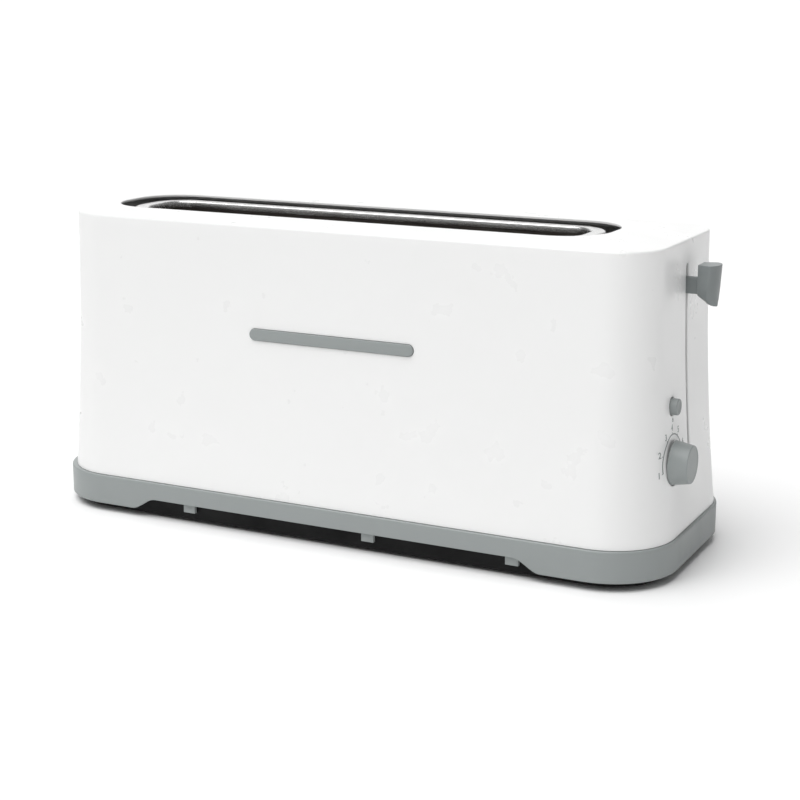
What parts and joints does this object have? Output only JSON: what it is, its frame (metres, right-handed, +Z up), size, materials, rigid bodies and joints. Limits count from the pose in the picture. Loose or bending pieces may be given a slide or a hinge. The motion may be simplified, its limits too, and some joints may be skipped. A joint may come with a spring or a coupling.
{
  "type": "long slot toaster",
  "caption": "Long narrow toaster with one full-length bread slot, gloss white shell on a grey base ring, and lever, button and knob on its end wall.",
  "frame": {"origin": "on the surface it stands on, under the middle of its outline with the lever knob included", "axes": "+X along the length towards the lever end, +Y to the rear, +Z up; the front with the trim bar faces -Y"},
  "size_m": [0.4079, 0.15, 0.1863],
  "materials": {
    "gloss_white": "gloss white moulding",
    "satin_grey": "satin grey moulding",
    "dark_grey": "satin dark grey moulding",
    "black_plastic": "matt black moulding",
    "bright_steel": "bright rolled steel",
    "zinc_steel": "zinc plated sheet and wire",
    "mica": "mica sheet",
    "heater_alloy": "oxidised heating wire",
    "copper": "enamelled copper winding",
    "board_laminate": "circuit board laminate",
    "ceramic": "unglazed ceramic",
    "blue_sleeve": "shrink sleeve",
    "rubber": "matt black rubber"
  },
  "bodies": {
    "housing": {"outer_shell": "gloss_white", "trim_bar": "satin_grey", "base_ring": "satin_grey", "base_pan": "black_plastic", "foot_1": "rubber", "foot_2": "rubber", "foot_3": "rubber", "foot_4": "rubber", "base_screw_1": "zinc_steel", "base_screw_2": "zinc_steel", "base_screw_3": "zinc_steel", "base_screw_4": "zinc_steel", "cord_gland": "black_plastic", "slot_frame": "bright_steel", "left_end_plate": "zinc_steel", "right_end_plate": "zinc_steel", "front_reflector": "bright_steel", "rear_reflector": "bright_steel", "front_heater_card": "mica", "rear_heater_card": "mica", "front_heating_wire": "heater_alloy", "rear_heating_wire": "heater_alloy", "rod_bracket": "zinc_steel", "guide_rod": "bright_steel", "lift_spring": "bright_steel", "magnet_core": "zinc_steel", "magnet_coil": "copper", "control_board": "board_laminate", "board_bracket": "black_plastic", "cancel_switch": "black_plastic", "browning_potentiometer": "zinc_steel", "capacitor": "blue_sleeve", "power_resistor": "ceramic", "mains_switch": "black_plastic", "terminal_block": "ceramic", "link_lead": "rubber"},
    "carriage": {"bread_rack": "zinc_steel", "carriage_slider": "zinc_steel", "catch_plate": "bright_steel", "lever_arm": "zinc_steel", "lever_knob": "dark_grey"},
    "cancel": {"cancel_button": "satin_grey"},
    "browning": {"browning_knob": "satin_grey"},
    "tray": {"crumb_tray": "zinc_steel"},
    "front_guard": {"front_bread_guard": "zinc_steel"},
    "rear_guard": {"rear_bread_guard": "zinc_steel"}
  },
  "joints": [
    {"name": "lever_slide", "type": "slide", "parent": "housing", "child": "carriage", "axis": [0, 0, -1], "range_m": [0, 0.088], "stiffness_N_per_m": 60, "springref_m": -0.05, "deforming": ["lift_spring"]},
    {"name": "cancel_press", "type": "slide", "parent": "housing", "child": "cancel", "axis": [-1, 0, 0], "range_m": [0, 0.002], "stiffness_N_per_m": 250, "springref_m": -0.001},
    {"name": "browning_turn", "type": "hinge", "parent": "housing", "child": "browning", "pos_m": [0.192, -0.0288, 0.065], "axis": [1, 0, 0], "range_deg": [-100, 100]},
    {"name": "tray_slide", "type": "slide", "parent": "housing", "child": "tray", "axis": [0, 1, 0], "range_m": [0, 0.12]},
    {"name": "front_guard_swing", "type": "hinge", "parent": "housing", "child": "front_guard", "pos_m": [-0.004, -0.0205, 0.024], "axis": [-1, 0, 0], "range_deg": [0, 5]},
    {"name": "rear_guard_swing", "type": "hinge", "parent": "housing", "child": "rear_guard", "pos_m": [-0.004, 0.0205, 0.024], "axis": [1, 0, 0], "range_deg": [0, 5]}
  ],
  "couplings": [
    {"joint": "front_guard_swing", "follows": "lever_slide", "rad_per_m": 0.99},
    {"joint": "rear_guard_swing", "follows": "lever_slide", "rad_per_m": 0.99}
  ]
}
